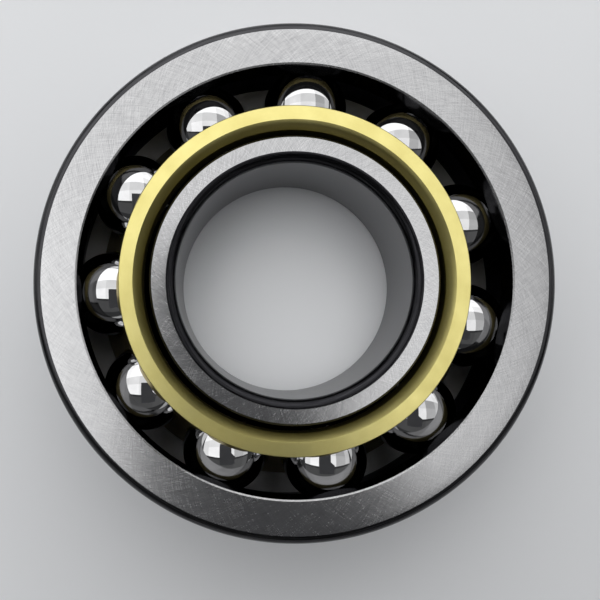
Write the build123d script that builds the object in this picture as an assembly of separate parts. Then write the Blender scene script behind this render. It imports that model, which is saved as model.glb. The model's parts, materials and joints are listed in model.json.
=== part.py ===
"""Single-row angular contact ball bearing with a machined brass cage.

The bearing axis is Z and the origin is on it, half way across the width. The outer ring's back face, which is
its broad one, looks up (+Z), and the inner ring's broad face looks down. The contact line of each ball leans out
and up, from the inner ring's high shoulder below to the outer ring's high shoulder above. Sizes are millimetres.
"""
from build123d import *
import math
import os

# Boundary sizes
bore_diameter = 50.0
outer_diameter = 110.0
width = 27.0

# Balls
ball_count = 11
ball_diameter = 19.05
pitch_diameter = 80.0

# Raceways: each groove is a little flatter than the ball and clears it by the running clearance
contact_angle = 40.0
conformity = 0.52
running_clearance = 0.05

# Shoulders, measured from the bottom of the ring's own groove
outer_high_shoulder = 4.05
outer_low_shoulder = 0.2
inner_high_shoulder = 5.1
inner_low_shoulder = 0.13

# Corners and edges of the rings
main_corner_radius = 2.0
front_corner_radius = 1.0
shoulder_chamfer = 0.3
land_chamfer = 0.45
mouth_flare = 0.65

# Cage: a small ring at the back face and a large ring at the front face, with a conical wall between them
pocket_clearance = 0.3
cage_back_recess = 0.45
cage_front_recess = 1.0
cage_bore_gap = 1.8
small_ring_wall = 4.7
small_ring_depth = 5.0
small_ring_bore_depth = 6.5
bevel_width = 1.7
bevel_depth = 1.9
large_ring_wall = 4.4
large_ring_gap = 4.4
cage_edge_chamfer = 0.15

# Worked out from the sizes above
face_height = width / 2
bore_radius = bore_diameter / 2
outer_radius = outer_diameter / 2
ball_radius = ball_diameter / 2
pitch_radius = pitch_diameter / 2
groove_radius = conformity * ball_diameter + running_clearance
groove_shift = (conformity - 0.5) * ball_diameter
shift_across = groove_shift * math.cos(math.radians(contact_angle))
shift_along = groove_shift * math.sin(math.radians(contact_angle))
outer_groove_bottom = pitch_radius - shift_across + groove_radius
inner_groove_bottom = pitch_radius + shift_across - groove_radius
mouth_radius = outer_groove_bottom - outer_low_shoulder
land_radius = inner_groove_bottom + inner_low_shoulder


def point(radius, height):
    """A point of a ring's outline, in the XZ plane."""
    return Vector(radius, 0, height)


def turned_ring(edges, rounded_corners):
    """Revolve a closed outline about the bearing axis, with the named corners rounded."""
    section = make_face(edges).face()
    for tip, radius in rounded_corners:
        vertex = section.vertices().sort_by_distance(tip)[0]
        section = section.fillet_2d(radius, [vertex])
    return revolve(section, Axis.Z)


def groove_span(radius, depth):
    """How far along the axis a groove reaches from its centre, at a given depth short of its bottom."""
    return math.sqrt(radius ** 2 - (radius - depth) ** 2)


def make_outer_ring():
    """Outer ring: high shoulder towards the back face, low shoulder and wide mouth at the front face."""
    centre_height = -shift_along
    high_radius = outer_groove_bottom - outer_high_shoulder
    high_edge = point(high_radius, centre_height + groove_span(groove_radius, outer_high_shoulder))
    low_edge = point(mouth_radius, centre_height - groove_span(groove_radius, outer_low_shoulder))
    back_corner = point(outer_radius, face_height)
    front_corner = point(outer_radius, -face_height)
    body = Polyline(
        high_edge,
        point(high_radius, face_height - shoulder_chamfer),
        point(high_radius + shoulder_chamfer, face_height),
        back_corner,
        front_corner,
        point(mouth_radius + mouth_flare, -face_height),
        low_edge,
    )
    groove = ThreePointArc(low_edge, point(outer_groove_bottom, centre_height), high_edge)
    corners = [(back_corner, main_corner_radius), (front_corner, front_corner_radius)]
    return turned_ring([body, groove], corners)


def make_inner_ring():
    """Inner ring: narrow land towards the back face, high shoulder towards the front face."""
    centre_height = shift_along
    high_radius = inner_groove_bottom + inner_high_shoulder
    land_edge = point(land_radius, centre_height + groove_span(groove_radius, inner_low_shoulder))
    high_edge = point(high_radius, centre_height - groove_span(groove_radius, inner_high_shoulder))
    upper_bore_corner = point(bore_radius, face_height)
    lower_bore_corner = point(bore_radius, -face_height)
    body = Polyline(
        land_edge,
        point(land_radius, face_height - land_chamfer),
        point(land_radius - land_chamfer, face_height),
        upper_bore_corner,
        lower_bore_corner,
        point(high_radius - shoulder_chamfer, -face_height),
        point(high_radius, shoulder_chamfer - face_height),
        high_edge,
    )
    groove = ThreePointArc(high_edge, point(inner_groove_bottom, centre_height), land_edge)
    corners = [(upper_bore_corner, main_corner_radius), (lower_bore_corner, main_corner_radius)]
    return turned_ring([body, groove], corners)


def make_cage_blank():
    """Cage before its pockets are bored: two rings joined by a conical wall across the contact line."""
    top = face_height - cage_back_recess
    bottom = cage_front_recess - face_height
    small_bore = land_radius + cage_bore_gap
    small_outside = small_bore + small_ring_wall
    large_outside = mouth_radius - large_ring_gap
    large_bore = large_outside - large_ring_wall
    outline = Polyline(
        point(small_bore + bevel_width, top),
        point(small_outside - cage_edge_chamfer, top),
        point(small_outside, top - cage_edge_chamfer),
        point(small_outside, top - small_ring_depth),
        point(large_outside, bottom + cage_edge_chamfer),
        point(large_outside - cage_edge_chamfer, bottom),
        point(large_bore, bottom),
        point(small_bore, top - small_ring_bore_depth),
        point(small_bore, top - bevel_depth),
        close=True,
    )
    return turned_ring([outline], [])


def ball_place(index):
    """Centre of one ball. The first ball is on +X, and the others follow anticlockwise."""
    return Rot(0, 0, index * 360 / ball_count) * Pos(pitch_radius, 0, 0)


def make_cage():
    """Cage with one spherical pocket for each ball, open to its full width on the outside of the wall."""
    cage = make_cage_blank()
    for index in range(ball_count):
        cage -= ball_place(index) * Sphere(ball_radius + pocket_clearance)
    return cage


def save(piece, name):
    """Write one piece to its own file."""
    piece.label = name
    export_step(piece, os.path.join("parts", name + ".step"))


os.makedirs("parts", exist_ok=True)
save(make_outer_ring(), "outer_ring")
save(make_inner_ring(), "inner_ring")
save(make_cage(), "cage")
for index in range(ball_count):
    save(ball_place(index) * Sphere(ball_radius), f"ball_{index + 1:02d}")
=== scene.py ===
"""Looks of an open angular contact ball bearing that lies on a pale surface, broad back face up."""
import bmesh
import bpy
import json
import math
from mathutils import Matrix, Vector

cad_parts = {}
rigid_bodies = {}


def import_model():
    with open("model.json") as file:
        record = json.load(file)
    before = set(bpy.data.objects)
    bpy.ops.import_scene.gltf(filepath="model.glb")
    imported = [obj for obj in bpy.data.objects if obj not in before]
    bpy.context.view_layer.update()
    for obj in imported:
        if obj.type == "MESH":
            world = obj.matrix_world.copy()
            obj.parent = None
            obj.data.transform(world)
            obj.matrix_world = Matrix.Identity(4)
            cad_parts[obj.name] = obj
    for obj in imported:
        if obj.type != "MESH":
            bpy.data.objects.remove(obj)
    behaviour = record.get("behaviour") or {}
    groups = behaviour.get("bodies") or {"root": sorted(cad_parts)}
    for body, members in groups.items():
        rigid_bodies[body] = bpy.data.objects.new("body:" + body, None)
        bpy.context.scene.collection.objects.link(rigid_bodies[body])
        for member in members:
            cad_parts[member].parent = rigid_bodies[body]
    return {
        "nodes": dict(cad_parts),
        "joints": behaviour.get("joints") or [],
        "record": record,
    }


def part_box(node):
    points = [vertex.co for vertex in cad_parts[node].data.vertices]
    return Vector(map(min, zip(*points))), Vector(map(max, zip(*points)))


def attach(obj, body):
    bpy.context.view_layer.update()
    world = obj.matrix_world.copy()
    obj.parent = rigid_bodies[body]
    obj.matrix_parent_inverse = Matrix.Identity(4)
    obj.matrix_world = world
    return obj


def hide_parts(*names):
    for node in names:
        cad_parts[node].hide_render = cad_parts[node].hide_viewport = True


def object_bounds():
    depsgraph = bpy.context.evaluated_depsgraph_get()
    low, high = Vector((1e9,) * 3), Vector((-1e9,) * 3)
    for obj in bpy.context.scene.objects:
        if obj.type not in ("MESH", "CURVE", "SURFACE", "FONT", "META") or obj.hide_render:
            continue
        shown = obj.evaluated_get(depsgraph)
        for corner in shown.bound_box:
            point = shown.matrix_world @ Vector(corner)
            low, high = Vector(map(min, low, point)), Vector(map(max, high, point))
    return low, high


MM = 0.001

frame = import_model()
cad_low, cad_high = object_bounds()
mounts = {mount["name"]: mount for mount in frame["record"]["mounts"]}
joints = {joint["name"]: joint for joint in frame["joints"]}

# Sizes read from the frame
face_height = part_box("outer_ring")[1].z
bore_radius = mounts["bore"]["dims"]["r_mm"] * MM
outer_radius = mounts["outer_diameter"]["dims"]["r_mm"] * MM
ball_nodes = sorted(node for node in frame["nodes"] if node.startswith("ball_"))
pitch_radius = Vector(joints[ball_nodes[0] + "_roll"]["pos_m"]).length
ball_radius = (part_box(ball_nodes[0])[1].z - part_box(ball_nodes[0])[0].z) / 2

# Sizes that the frame doesn't hold, as in the CAD source
CONTACT_ANGLE = math.radians(40.0)
CONFORMITY = 0.52
RUNNING_CLEARANCE = 0.05 * MM
OUTER_HIGH_SHOULDER = 4.05 * MM
OUTER_LOW_SHOULDER = 0.2 * MM
INNER_HIGH_SHOULDER = 5.1 * MM
INNER_LOW_SHOULDER = 0.13 * MM
MAIN_CORNER = 2.0 * MM
FRONT_CORNER = 1.0 * MM
SHOULDER_CHAMFER = 0.3 * MM
LAND_CHAMFER = 0.45 * MM
MOUTH_FLARE = 0.65 * MM
POCKET_CLEARANCE = 0.3 * MM
CAGE_BACK_RECESS = 0.45 * MM
CAGE_FRONT_RECESS = 1.0 * MM
CAGE_BORE_GAP = 1.8 * MM
SMALL_RING_WALL = 4.7 * MM
SMALL_RING_DEPTH = 5.0 * MM
SMALL_RING_BORE_DEPTH = 6.5 * MM
BEVEL_WIDTH = 1.7 * MM
BEVEL_DEPTH = 1.9 * MM
LARGE_RING_WALL = 4.4 * MM
LARGE_RING_GAP = 4.4 * MM
CAGE_EDGE_CHAMFER = 0.15 * MM

groove_radius = CONFORMITY * 2 * ball_radius + RUNNING_CLEARANCE
groove_shift = (CONFORMITY - 0.5) * 2 * ball_radius
shift_across = groove_shift * math.cos(CONTACT_ANGLE)
shift_along = groove_shift * math.sin(CONTACT_ANGLE)
outer_groove_bottom = pitch_radius - shift_across + groove_radius
inner_groove_bottom = pitch_radius + shift_across - groove_radius
mouth_radius = outer_groove_bottom - OUTER_LOW_SHOULDER
land_radius = inner_groove_bottom + INNER_LOW_SHOULDER

# Fineness of the meshes
TURNS = 288
ARC_STEPS = 12
GROOVE_STEPS = 40
BALL_GRID = 32
SHARP_ANGLE = math.radians(22)


# ---------------------------------------------------------------- camera, floor and light

# Camera, fitted to the picture. Its place is from the middle of the top face, in the picture's axes, and its
# tilt is in radians. Those axes are turned about the bearing to put the balls where the picture has them
VIEW_TURN = Matrix.Rotation(math.radians(13.3), 4, "Z")
CAMERA_PLACE = Vector((-13.45 * MM, -11.98 * MM, 140.09 * MM))
CAMERA_TILT = (0.035, -0.0036)
LENS = 40.44
SHIFT = (0.1118, 0.0223)
NEAREST_SEEN = 5 * MM

FLOOR_HALF_WIDTH = 1.9
FLOOR_COLOUR = (0.73, 0.74, 0.755)
FLOOR_ROUGHNESS = 0.55
FLOOR_SPECULAR = 0.3

# Dark card over the camera: its outline in millimetres in the picture's axes, and its height above the camera
FLAG_OUTLINE = ((-54, -141), (62, -141), (62, -72), (32, -46), (32, 22), (-54, 22))
FLAG_LIFT = 3 * MM
FLAG_COLOUR = (0.09, 0.09, 0.095)
FLAG_ROUGHNESS = 0.7

# Soft panels overhead, edge to edge, in metres. Each row is (place along Y, depth, its radiances along X)
CEILING_HEIGHT = 0.9
PANEL_COLUMNS = (-1.23, -0.58, 0.07, 0.72, 1.37)
PANEL_WIDTH = 0.65
PANEL_ROWS = (
    (-0.80, 0.86, (0.06, 0.06, 0.06, 0.08, 0.10)),
    (-0.05, 0.46, (1.25, 1.60, 1.35, 0.65, 0.85)),
    (0.39, 0.42, (1.20, 1.30, 1.10, 0.55, 0.85)),
    (0.81, 0.42, (1.70, 1.90, 1.90, 1.50, 1.35)),
    (1.29, 0.54, (1.70, 2.00, 2.00, 1.80, 1.50)),
    (1.98, 0.84, (1.60, 1.90, 1.90, 1.70, 1.50)),
)

# Dimmer upright panels all round that face the bearing: (place, (width, height), radiance)
WALL_PANELS = (
    ((-1.75, 0.70, 0.50), (1.60, 0.70), 0.85),
    ((0.05, 2.50, 0.50), (2.60, 0.70), 1.10),
    ((1.85, 0.70, 0.50), (1.60, 0.70), 0.75),
    ((-1.50, -1.45, 0.42), (1.60, 0.70), 0.45),
    ((0.00, -2.05, 0.42), (1.60, 0.70), 0.45),
    ((1.50, -1.45, 0.42), (1.60, 0.70), 0.45),
)

# Fills that light only the floor and leave no glint on the metal: a panel and a spot down the bore
FLOOR_FILL_PLACE = (0.00, -1.55, 0.90)
FLOOR_FILL_SIZE = (3.00, 1.10)
FLOOR_FILL_RADIANCE = 0.85
BORE_FILL_PLACE = Vector((0.0, -7 * MM, CAMERA_PLACE.z))
BORE_FILL_WATTS = 0.21
BORE_FILL_CONE = math.radians(22)
BORE_FILL_BLEND = 0.7
BORE_FILL_RADIUS = 10 * MM

# The room as a light, and as the camera sees it behind the floor
ROOM_COLOUR = (0.95, 0.97, 1.0)
ROOM_LIGHT = 0.05
BACKDROP_LIGHT = 0.75


def make_camera():
    data = bpy.data.cameras.new("camera")
    data.lens = LENS
    data.shift_x, data.shift_y = SHIFT
    data.clip_start = NEAREST_SEEN
    camera = bpy.data.objects.new("camera", data)
    bpy.context.scene.collection.objects.link(camera)
    place = CAMERA_PLACE + Vector((0, 0, face_height))
    tilt = Matrix.Rotation(CAMERA_TILT[0], 4, "X") @ Matrix.Rotation(CAMERA_TILT[1], 4, "Y")
    camera.matrix_world = VIEW_TURN @ Matrix.Translation(place) @ tilt
    bpy.context.scene.camera = camera


def plain_sheet(name, corners, colour, roughness, specular=0.5):
    """A flat sheet of one plain colour."""
    mesh = bpy.data.meshes.new(name)
    mesh.from_pydata(corners, [], [range(len(corners))])
    sheet = bpy.data.objects.new(name, mesh)
    bpy.context.scene.collection.objects.link(sheet)
    material = bpy.data.materials.new(name + "_surface")
    material.use_nodes = True
    shader = material.node_tree.nodes["Principled BSDF"]
    shader.inputs["Base Color"].default_value = (*colour, 1)
    shader.inputs["Roughness"].default_value = roughness
    shader.inputs["Specular IOR Level"].default_value = specular
    mesh.materials.append(material)
    return sheet


def make_floor():
    low, half = cad_low.z, FLOOR_HALF_WIDTH
    corners = [(-half, -half, low), (half, -half, low), (half, half, low), (-half, half, low)]
    floor = plain_sheet("floor", corners, FLOOR_COLOUR, FLOOR_ROUGHNESS, FLOOR_SPECULAR)


def make_flag():
    """A dark card just above the camera, which the metal mirrors. The camera itself can't see it."""
    height = CAMERA_PLACE.z + face_height + FLAG_LIFT
    corners = [VIEW_TURN @ Vector((x * MM, y * MM, height)) for x, y in FLAG_OUTLINE]
    flag = plain_sheet("flag", corners, FLAG_COLOUR, FLAG_ROUGHNESS)
    flag.visible_camera = False


def soft_light(name, place, size, radiance, upright=False):
    """A flat area light that faces straight down, or towards the bearing if upright. Its place is in the
    picture's axes."""
    data = bpy.data.lights.new(name, "AREA")
    data.shape = "RECTANGLE"
    data.size, data.size_y = size
    data.energy = radiance * math.pi * size[0] * size[1]
    light = bpy.data.objects.new(name, data)
    bpy.context.scene.collection.objects.link(light)
    place = Vector(place)
    aim = (-place).to_track_quat("-Z", "Y").to_matrix().to_4x4() if upright else Matrix()
    light.matrix_world = VIEW_TURN @ Matrix.Translation(place) @ aim
    return light


def make_light():
    """Rows of panels overhead, the brightest ones beyond the top of the picture, and what goes with them."""
    for row, (place, depth, radiances) in enumerate(PANEL_ROWS):
        for column, radiance in enumerate(radiances):
            centre = (PANEL_COLUMNS[column], place, CEILING_HEIGHT)
            soft_light(f"panel_{row}_{column}", centre, (PANEL_WIDTH, depth), radiance)
    for index, (place, size, radiance) in enumerate(WALL_PANELS):
        soft_light(f"wall_{index}", place, size, radiance, upright=True)
    floor_fill = soft_light("floor_fill", FLOOR_FILL_PLACE, FLOOR_FILL_SIZE, FLOOR_FILL_RADIANCE)
    floor_fill.visible_glossy = False
    make_bore_fill()
    make_room()


def make_bore_fill():
    """A small spot down the bore, for the floor there, which the flag shades."""
    data = bpy.data.lights.new("bore_fill", "SPOT")
    data.energy = BORE_FILL_WATTS
    data.spot_size = BORE_FILL_CONE
    data.spot_blend = BORE_FILL_BLEND
    data.shadow_soft_size = BORE_FILL_RADIUS
    light = bpy.data.objects.new("bore_fill", data)
    bpy.context.scene.collection.objects.link(light)
    light.location = VIEW_TURN @ BORE_FILL_PLACE
    light.visible_glossy = False


def make_room():
    """A pale backdrop, which lights the bearing only dimly, as the far side of a big room does."""
    world = bpy.data.worlds.new("world")
    bpy.context.scene.world = world
    world.use_nodes = True
    tree = world.node_tree
    shade = tree.nodes["Background"]
    shade.inputs["Color"].default_value = (*ROOM_COLOUR, 1)
    seen = tree.nodes.new("ShaderNodeLightPath").outputs["Is Camera Ray"]
    strength = tree.nodes.new("ShaderNodeMapRange")
    strength.inputs["To Min"].default_value = ROOM_LIGHT
    strength.inputs["To Max"].default_value = BACKDROP_LIGHT
    tree.links.new(seen, strength.inputs["Value"])
    tree.links.new(strength.outputs[0], shade.inputs["Strength"])


# ---------------------------------------------------------------- materials

# Darkest and lightest tone of each surface, in linear light
GROUND_STEEL = ((0.37, 0.37, 0.377), (0.59, 0.59, 0.595))
OUTSIDE_STEEL = ((0.36, 0.36, 0.37), (0.48, 0.48, 0.49))
# Darker than the outside diameter's steel: painted shade of the deep bore
BORE_SHADE_STEEL = ((0.16, 0.16, 0.165), (0.24, 0.24, 0.245))
OUTER_CORNER = ((0.03, 0.03, 0.033), (0.07, 0.07, 0.073))
BORE_CORNER = ((0.012, 0.012, 0.014), (0.035, 0.035, 0.038))
# Raceway and shoulder: far darker than the balls' steel, painted shade of the recess between the rings,
# darkest on the deeper raceway
RACE_SHADE_STEEL = ((0.06, 0.06, 0.063), (0.10, 0.10, 0.104))
SHOULDER_SHADE_STEEL = ((0.16, 0.16, 0.163), (0.21, 0.21, 0.214))
BALL_STEEL = ((0.53, 0.53, 0.535), (0.59, 0.59, 0.595))
BRIGHT_BRASS = ((0.76, 0.67, 0.25), (0.86, 0.77, 0.31))
SHADED_BRASS = ((0.42, 0.35, 0.15), (0.50, 0.42, 0.18))
# Darker copy of the brass for the cage's cones, deep in the bearing: painted shade
DEEP_SHADE_BRASS = ((0.26, 0.21, 0.11), (0.34, 0.28, 0.15))
# Darker still, for the pocket walls: painted shade
POCKET_SHADE_BRASS = ((0.11, 0.09, 0.05), (0.15, 0.125, 0.07))

# How far the rims of a raceway and of a ball darken: painted shade, which dims their reflections at a
# glancing angle
RACE_RIM_SHADE_TINT = (0.3, 0.3, 0.31)
BALL_RIM_SHADE_TINT = (0.25, 0.25, 0.25)

# Where most of a noise's values lie: wide for one noise, narrow for several added up
WIDE = (0.3, 0.7)
NARROW = (0.35, 0.65)
MICRON = 0.001 * MM


class Nodes:
    """Short calls that build a metal's node tree around its Principled shader."""

    def __init__(self, name):
        self.material = bpy.data.materials.new(name)
        self.material.use_nodes = True
        self.tree = self.material.node_tree
        self.shader = self.tree.nodes["Principled BSDF"]
        self.shader.inputs["Metallic"].default_value = 1.0

    def node(self, kind, inputs=(), **settings):
        made = self.tree.nodes.new(kind)
        for key, value in settings.items():
            setattr(made, key, value)
        for key, value in dict(inputs).items():
            self.put(made.inputs[key], value)
        return made

    def put(self, socket, value):
        if isinstance(value, bpy.types.NodeSocket):
            self.tree.links.new(value, socket)
        else:
            socket.default_value = value

    def math(self, operation, first, second=0.0):
        return self.node("ShaderNodeMath", {0: first, 1: second}, operation=operation).outputs[0]

    def blend(self, *parts):
        """The sum of (value, weight) pairs."""
        total = None
        for value, weight in parts:
            part = self.math("MULTIPLY", value, weight)
            total = part if total is None else self.math("ADD", total, part)
        return total

    def object_place(self):
        return self.node("ShaderNodeTexCoord").outputs["Object"]

    def polar(self):
        """Angle about the bearing axis in radians, distance from it and height in millimetres."""
        parts = self.node("ShaderNodeSeparateXYZ", {0: self.object_place()}).outputs
        angle = self.math("ARCTAN2", parts["Y"], parts["X"])
        across = self.math("MULTIPLY", parts["X"], parts["X"])
        across = self.math("ADD", across, self.math("MULTIPLY", parts["Y"], parts["Y"]))
        radius = self.math("DIVIDE", self.math("SQRT", across), MM)
        height = self.math("DIVIDE", parts["Z"], MM)
        return angle, radius, height

    def around(self, radius_scale, angle_scale, height_scale=0.0, skew=0.0):
        """Coordinates that go round the axis without a seam. The scales are per millimetre and per radian.
        The skew is in radians per millimetre outwards."""
        angle, radius, height = self.polar()
        turn = self.math("ADD", angle, self.math("MULTIPLY", radius, skew))
        x = self.math("MULTIPLY", self.math("COSINE", turn), angle_scale)
        y = self.math("MULTIPLY", self.math("SINE", turn), angle_scale)
        z = self.blend((radius, radius_scale), (height, height_scale))
        return self.node("ShaderNodeCombineXYZ", {0: x, 1: y, 2: z}).outputs[0]

    def noise(self, vector, scale=1.0, detail=3.0, rough=0.55):
        inputs = {"Vector": vector, "Scale": scale, "Detail": detail, "Roughness": rough}
        return self.node("ShaderNodeTexNoise", inputs).outputs["Fac"]

    def span(self, value, old, new):
        """Map one (low, high) range to another."""
        inputs = {"Value": value, "From Min": old[0], "From Max": old[1], "To Min": new[0], "To Max": new[1]}
        return self.node("ShaderNodeMapRange", inputs).outputs[0]

    def tones(self, value, old, shades):
        """The (dark, light) shades, mixed by where the value lies in its (low, high) range."""
        mixed = self.node("ShaderNodeMix", {"Factor": self.span(value, old, (0.0, 1.0))}, data_type="RGBA")
        dark, light = (socket for socket in mixed.inputs if socket.type == "RGBA")
        dark.default_value = (*shades[0], 1)
        light.default_value = (*shades[1], 1)
        return next(socket for socket in mixed.outputs if socket.type == "RGBA")

    def turned_gloss(self, amount):
        """Stretch the highlights the way that a turned or ground surface does."""
        self.shader.inputs["Anisotropic"].default_value = amount
        tangent = self.node("ShaderNodeTangent", direction_type="RADIAL", axis="Z")
        self.put(self.shader.inputs["Tangent"], tangent.outputs[0])

    def bump(self, height, depth, strength):
        inputs = {"Height": height, "Distance": depth, "Strength": strength}
        self.put(self.shader.inputs["Normal"], self.node("ShaderNodeBump", inputs).outputs[0])

    def finish(self, colour, roughness):
        self.put(self.shader.inputs["Base Color"], colour)
        self.put(self.shader.inputs["Roughness"], roughness)
        return self.material


def ground_face(name, shades):
    """Ring faces: surface ground, with fine crossing scratches and a faint cloudiness."""
    n = Nodes(name)
    left = n.noise(n.around(radius_scale=0.32, angle_scale=185.0, skew=0.022), detail=2.5, rough=0.6)
    right = n.noise(n.around(radius_scale=0.38, angle_scale=200.0, skew=-0.018), detail=2.5, rough=0.6)
    steep = n.noise(n.around(radius_scale=0.70, angle_scale=115.0, skew=0.055), detail=2.5, rough=0.6)
    cloud = n.noise(n.object_place(), scale=140.0)
    marks = n.blend((left, 0.35), (right, 0.35), (steep, 0.3))
    rough = n.math("ADD", n.span(marks, NARROW, (0.19, 0.29)), n.span(cloud, WIDE, (-0.015, 0.02)))
    n.turned_gloss(0.3)
    n.bump(marks, depth=30 * MICRON, strength=0.4)
    return n.finish(n.tones(marks, (0.36, 0.64), shades), rough)


def black_corner(name, shades):
    """Unground corners, left dark by the heat treatment."""
    n = Nodes(name)
    lines = n.noise(n.around(radius_scale=9.0, angle_scale=6.0, height_scale=9.0))
    n.bump(lines, depth=20 * MICRON, strength=0.2)
    return n.finish(n.tones(lines, WIDE, shades), n.span(lines, WIDE, (0.18, 0.32)))


def ground_seat(name, shades):
    """Bore or outside diameter: ground round the axis to a plain gray. The bore's darker shades are painted
    shade.
    """
    n = Nodes(name)
    lines = n.noise(n.around(radius_scale=0.0, angle_scale=14.0, height_scale=7.0), detail=4.0, rough=0.6)
    n.turned_gloss(0.4)
    n.bump(lines, depth=20 * MICRON, strength=0.3)
    return n.finish(n.tones(lines, WIDE, shades), n.span(lines, WIDE, (0.30, 0.42)))


def polished_race(name, shades):
    """Raceways and shoulders: honed to a mirror, with hair-fine lines round the axis. Their dark tones and
    dimmed rims are painted shade.
    """
    n = Nodes(name)
    lines = n.noise(n.around(radius_scale=12.0, angle_scale=8.0, height_scale=12.0))
    # The tint dims the reflections at a glancing angle: painted shade
    n.shader.inputs["Specular Tint"].default_value = (*RACE_RIM_SHADE_TINT, 1)
    n.bump(lines, depth=10 * MICRON, strength=0.15)
    return n.finish(n.tones(lines, WIDE, shades), n.span(lines, WIDE, (0.07, 0.13)))


def turned_brass(name, shades, rough):
    """Cage: brass with the lathe's fine rings and a fine grain, slightly dulled in clouds."""
    n = Nodes(name)
    rings = n.noise(n.around(radius_scale=14.0, angle_scale=12.0, height_scale=14.0), rough=0.6)
    grain = n.noise(n.object_place(), scale=2600.0, detail=2.0)
    cloud = n.noise(n.object_place(), scale=160.0)
    marks = n.blend((rings, 0.8), (grain, 0.2))
    tone = n.blend((cloud, 0.7), (marks, 0.3))
    ring_gloss = n.span(marks, WIDE, (rough - 0.04, rough + 0.04))
    gloss = n.math("ADD", ring_gloss, n.span(cloud, WIDE, (0.03, -0.03)))
    n.turned_gloss(0.3)
    n.bump(marks, depth=20 * MICRON, strength=0.2)
    return n.finish(n.tones(tone, NARROW, shades), gloss)


def mirror_ball(name, shades):
    """Balls: lapped to a mirror, with a trace of oil. Their rims are dimmed by painted shade."""
    n = Nodes(name)
    film = n.noise(n.object_place(), scale=300.0, detail=2.0)
    # The tint dims the rims' reflections at a glancing angle: painted shade
    n.shader.inputs["Specular Tint"].default_value = (*BALL_RIM_SHADE_TINT, 1)
    return n.finish(n.tones(film, NARROW, shades), n.span(film, (0.35, 0.7), (0.02, 0.07)))


def make_materials():
    made = [
        ground_face("ground_face", GROUND_STEEL),
        black_corner("outer_corner", OUTER_CORNER),
        black_corner("bore_corner", BORE_CORNER),
        ground_seat("ground_outside", OUTSIDE_STEEL),
        ground_seat("ground_bore", BORE_SHADE_STEEL),
        polished_race("polished_race", RACE_SHADE_STEEL),
        polished_race("polished_shoulder", SHOULDER_SHADE_STEEL),
        turned_brass("turned_brass", BRIGHT_BRASS, rough=0.35),
        turned_brass("shaded_brass", SHADED_BRASS, rough=0.42),
        # painted shade: a darker brass for the cage's deep cones
        turned_brass("deep_shade_brass", DEEP_SHADE_BRASS, rough=0.45),
        # painted shade: a darker brass still for the pocket walls
        turned_brass("pocket_shade_brass", POCKET_SHADE_BRASS, rough=0.50),
        mirror_ball("mirror_ball", BALL_STEEL),
    ]
    return {material.name: material for material in made}


# ---------------------------------------------------------------- turned pieces

def arc(centre, radius, start, end, steps):
    """Points of an arc in (radius, height), from one angle to another in degrees."""
    points = []
    for step in range(steps + 1):
        angle = math.radians(start + (end - start) * step / steps)
        points.append((centre[0] + radius * math.cos(angle), centre[1] + radius * math.sin(angle)))
    return points


def line(start, end, steps=1):
    """Points of a straight stretch, evenly spaced."""
    return [(start[0] + (end[0] - start[0]) * i / steps, start[1] + (end[1] - start[1]) * i / steps)
            for i in range(steps + 1)]


def turned_mesh(name, stretches, materials):
    """A closed ring, turned from an outline of stretches. Each one is (material name, its points), and ends
    where the next one starts."""
    outline, finishes = [], []
    for finish, points in stretches:
        for point in points[:-1]:
            outline.append(point)
            finishes.append(finish)
    used = list(dict.fromkeys(finishes))
    mesh = bpy.data.meshes.new(name)
    for finish in used:
        mesh.materials.append(materials[finish])
    count = len(outline)
    vertices = []
    for turn in range(TURNS):
        angle = math.tau * turn / TURNS
        vertices += [(r * math.cos(angle), r * math.sin(angle), z) for r, z in outline]
    faces, slots = [], []
    for turn in range(TURNS):
        here, there = turn * count, (turn + 1) % TURNS * count
        for i in range(count):
            j = (i + 1) % count
            faces.append((here + i, there + i, there + j, here + j))
            slots.append(used.index(finishes[i]))
    mesh.from_pydata(vertices, [], faces)
    mesh.polygons.foreach_set("material_index", slots)
    return mesh


def smooth(mesh):
    """Smooth shading, split at the edges that turn sharply."""
    shape = bmesh.new()
    shape.from_mesh(mesh)
    bmesh.ops.recalc_face_normals(shape, faces=shape.faces)
    for face in shape.faces:
        face.smooth = True
    for edge in shape.edges:
        edge.smooth = len(edge.link_faces) != 2 or edge.calc_face_angle() < SHARP_ANGLE
    shape.to_mesh(mesh)
    shape.free()


def add_piece(name, mesh, node):
    """Put a mesh in the scene in place of a CAD node."""
    piece = bpy.data.objects.new(name, mesh)
    bpy.context.scene.collection.objects.link(piece)
    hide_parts(node)
    return piece


def groove_span(radius, depth):
    """How far along the axis a groove reaches from its centre, at a given depth short of its bottom."""
    return math.sqrt(radius ** 2 - (radius - depth) ** 2)


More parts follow.
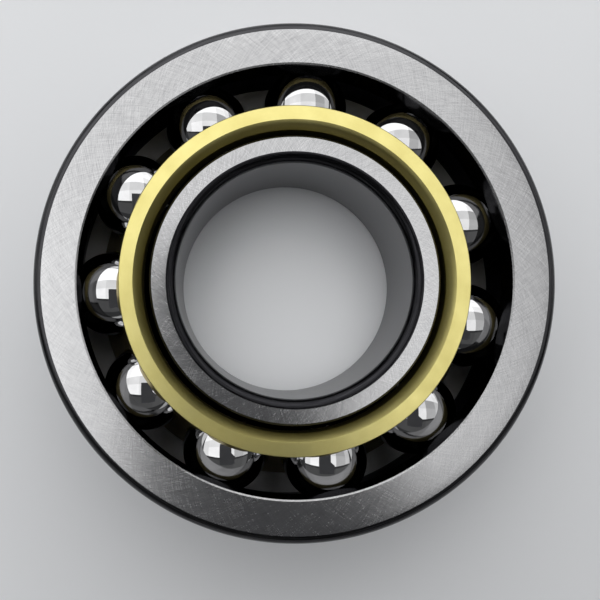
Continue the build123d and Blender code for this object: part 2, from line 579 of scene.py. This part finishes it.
def make_outer_ring(materials):
    top, low = face_height, -face_height
    centre = (outer_groove_bottom - groove_radius, -shift_along)
    high = outer_groove_bottom - OUTER_HIGH_SHOULDER
    high_edge = (high, centre[1] + groove_span(groove_radius, OUTER_HIGH_SHOULDER))
    low_edge = (mouth_radius, centre[1] - groove_span(groove_radius, OUTER_LOW_SHOULDER))
    rise = math.degrees(math.asin((high_edge[1] - centre[1]) / groove_radius))
    fall = math.degrees(math.asin((low_edge[1] - centre[1]) / groove_radius))
    face_inner = (high + SHOULDER_CHAMFER, top)
    mouth = (mouth_radius + MOUTH_FLARE, low)
    stretches = [
        ("ground_face", line(face_inner, (outer_radius - MAIN_CORNER, top), steps=4)),
        ("outer_corner", arc((outer_radius - MAIN_CORNER, top - MAIN_CORNER), MAIN_CORNER, 90, 0, ARC_STEPS)),
        ("ground_outside", line((outer_radius, top - MAIN_CORNER), (outer_radius, low + FRONT_CORNER),
                                steps=8)),
        ("outer_corner", arc((outer_radius - FRONT_CORNER, low + FRONT_CORNER), FRONT_CORNER, 0, -90,
                             ARC_STEPS)),
        ("ground_face", line((outer_radius - FRONT_CORNER, low), mouth, steps=3)),
        ("polished_race", line(mouth, low_edge, steps=6)),
        ("polished_race", arc(centre, groove_radius, fall, rise, GROOVE_STEPS)),
        ("polished_shoulder", line(high_edge, (high, top - SHOULDER_CHAMFER), steps=4)),
        ("ground_face", line((high, top - SHOULDER_CHAMFER), face_inner)),
    ]
    mesh = turned_mesh("outer_ring_body", stretches, materials)
    smooth(mesh)
    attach(add_piece("outer_ring_body", mesh, "outer_ring"), "outer_ring")


def make_inner_ring(materials):
    top, low = face_height, -face_height
    centre = (inner_groove_bottom + groove_radius, shift_along)
    high = inner_groove_bottom + INNER_HIGH_SHOULDER
    land_edge = (land_radius, centre[1] + groove_span(groove_radius, INNER_LOW_SHOULDER))
    high_edge = (high, centre[1] - groove_span(groove_radius, INNER_HIGH_SHOULDER))
    rise = 180 - math.degrees(math.asin((land_edge[1] - centre[1]) / groove_radius))
    fall = 180 + math.degrees(math.asin((centre[1] - high_edge[1]) / groove_radius))
    upper, lower = (bore_radius + MAIN_CORNER, top), (bore_radius + MAIN_CORNER, low)
    stretches = [
        ("ground_face", line(upper, (land_radius - LAND_CHAMFER, top), steps=3)),
        ("bore_corner", line((land_radius - LAND_CHAMFER, top), (land_radius, top - LAND_CHAMFER))),
        ("polished_race", line((land_radius, top - LAND_CHAMFER), land_edge, steps=6)),
        ("polished_race", arc(centre, groove_radius, rise, fall, GROOVE_STEPS)),
        ("polished_race", line(high_edge, (high, low + SHOULDER_CHAMFER), steps=3)),
        ("bore_corner", line((high, low + SHOULDER_CHAMFER), (high - SHOULDER_CHAMFER, low))),
        ("ground_face", line((high - SHOULDER_CHAMFER, low), lower, steps=4)),
        ("bore_corner", arc((lower[0], low + MAIN_CORNER), MAIN_CORNER, 270, 180, ARC_STEPS)),
        ("ground_bore", line((bore_radius, low + MAIN_CORNER), (bore_radius, top - MAIN_CORNER), steps=8)),
        ("bore_corner", arc((upper[0], top - MAIN_CORNER), MAIN_CORNER, 180, 90, ARC_STEPS)),
    ]
    mesh = turned_mesh("inner_ring_body", stretches, materials)
    smooth(mesh)
    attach(add_piece("inner_ring_body", mesh, "inner_ring"), "inner_ring")


# ---------------------------------------------------------------- balls and cage

def ball_mesh(name, radius, material):
    """A sphere of even quads, from a cube whose grid is pushed out to the radius."""
    shape = bmesh.new()
    bmesh.ops.create_cube(shape, size=2)
    bmesh.ops.subdivide_edges(shape, edges=shape.edges, cuts=BALL_GRID - 1, use_grid_fill=True)
    for vertex in shape.verts:
        even = Vector([math.tan(part * math.pi / 4) for part in vertex.co])
        vertex.co = even.normalized() * radius
    for face in shape.faces:
        face.smooth = True
    mesh = bpy.data.meshes.new(name)
    shape.to_mesh(mesh)
    shape.free()
    mesh.materials.append(material)
    return mesh


def make_balls(materials):
    for node in ball_nodes:
        joint = joints[node + "_roll"]
        mesh = ball_mesh(node + "_body", ball_radius, materials["mirror_ball"])
        ball = add_piece(node + "_body", mesh, node)
        ball.location = joint["pos_m"]
        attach(ball, node)


def cage_blank(materials):
    """The cage before its pockets. Each row is the material, start and steps of a stretch of its outline."""
    top = face_height - CAGE_BACK_RECESS
    bottom = CAGE_FRONT_RECESS - face_height
    small_bore = land_radius + CAGE_BORE_GAP
    small_outside = small_bore + SMALL_RING_WALL
    large_outside = mouth_radius - LARGE_RING_GAP
    large_bore = large_outside - LARGE_RING_WALL
    outline = [
        ("turned_brass", (small_bore + BEVEL_WIDTH, top), 3),
        ("turned_brass", (small_outside - CAGE_EDGE_CHAMFER, top), 1),
        ("shaded_brass", (small_outside, top - CAGE_EDGE_CHAMFER), 4),
        # The outer cone, deep in the bearing, takes the darker brass: painted shade
        ("deep_shade_brass", (small_outside, top - SMALL_RING_DEPTH), 14),
        ("turned_brass", (large_outside, bottom + CAGE_EDGE_CHAMFER), 1),
        ("turned_brass", (large_outside - CAGE_EDGE_CHAMFER, bottom), 3),
        # The inner cone takes the darker brass too: painted shade
        ("deep_shade_brass", (large_bore, bottom), 14),
        ("turned_brass", (small_bore, top - SMALL_RING_BORE_DEPTH), 3),
        ("turned_brass", (small_bore, top - BEVEL_DEPTH), 2),
    ]
    stretches = []
    for index, (finish, start, steps) in enumerate(outline):
        end = outline[(index + 1) % len(outline)][1]
        stretches.append((finish, line(start, end, steps)))
    return turned_mesh("cage_body", stretches, materials)


def make_cage(materials):
    """The turned blank, less a round pocket for each ball."""
    cage = add_piece("cage_body", cage_blank(materials), "cage")
    cutters = bpy.data.collections.new("pocket_cutters")
    for node in ball_nodes:
        # The cutters carry a dark brass for the pocket walls: painted shade
        mesh = ball_mesh("pocket_" + node, ball_radius + POCKET_CLEARANCE, materials["pocket_shade_brass"])
        cutter = bpy.data.objects.new("pocket_" + node, mesh)
        cutter.location = joints[node + "_roll"]["pos_m"]
        cutters.objects.link(cutter)
    cut = cage.modifiers.new("pockets", "BOOLEAN")
    cut.operand_type = "COLLECTION"
    cut.collection = cutters
    cut.solver = "EXACT"
    bpy.context.view_layer.update()
    shaped = bpy.data.meshes.new_from_object(cage.evaluated_get(bpy.context.evaluated_depsgraph_get()))
    cage.modifiers.clear()
    cage.data = shaped
    for cutter in list(cutters.objects):
        bpy.data.objects.remove(cutter)
    bpy.data.collections.remove(cutters)
    smooth(shaped)
    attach(cage, "cage")


make_camera()
make_floor()
make_flag()
make_light()
materials = make_materials()
make_outer_ring(materials)
make_inner_ring(materials)
make_cage(materials)
make_balls(materials)
bpy.context.scene.view_settings.view_transform = "Standard"
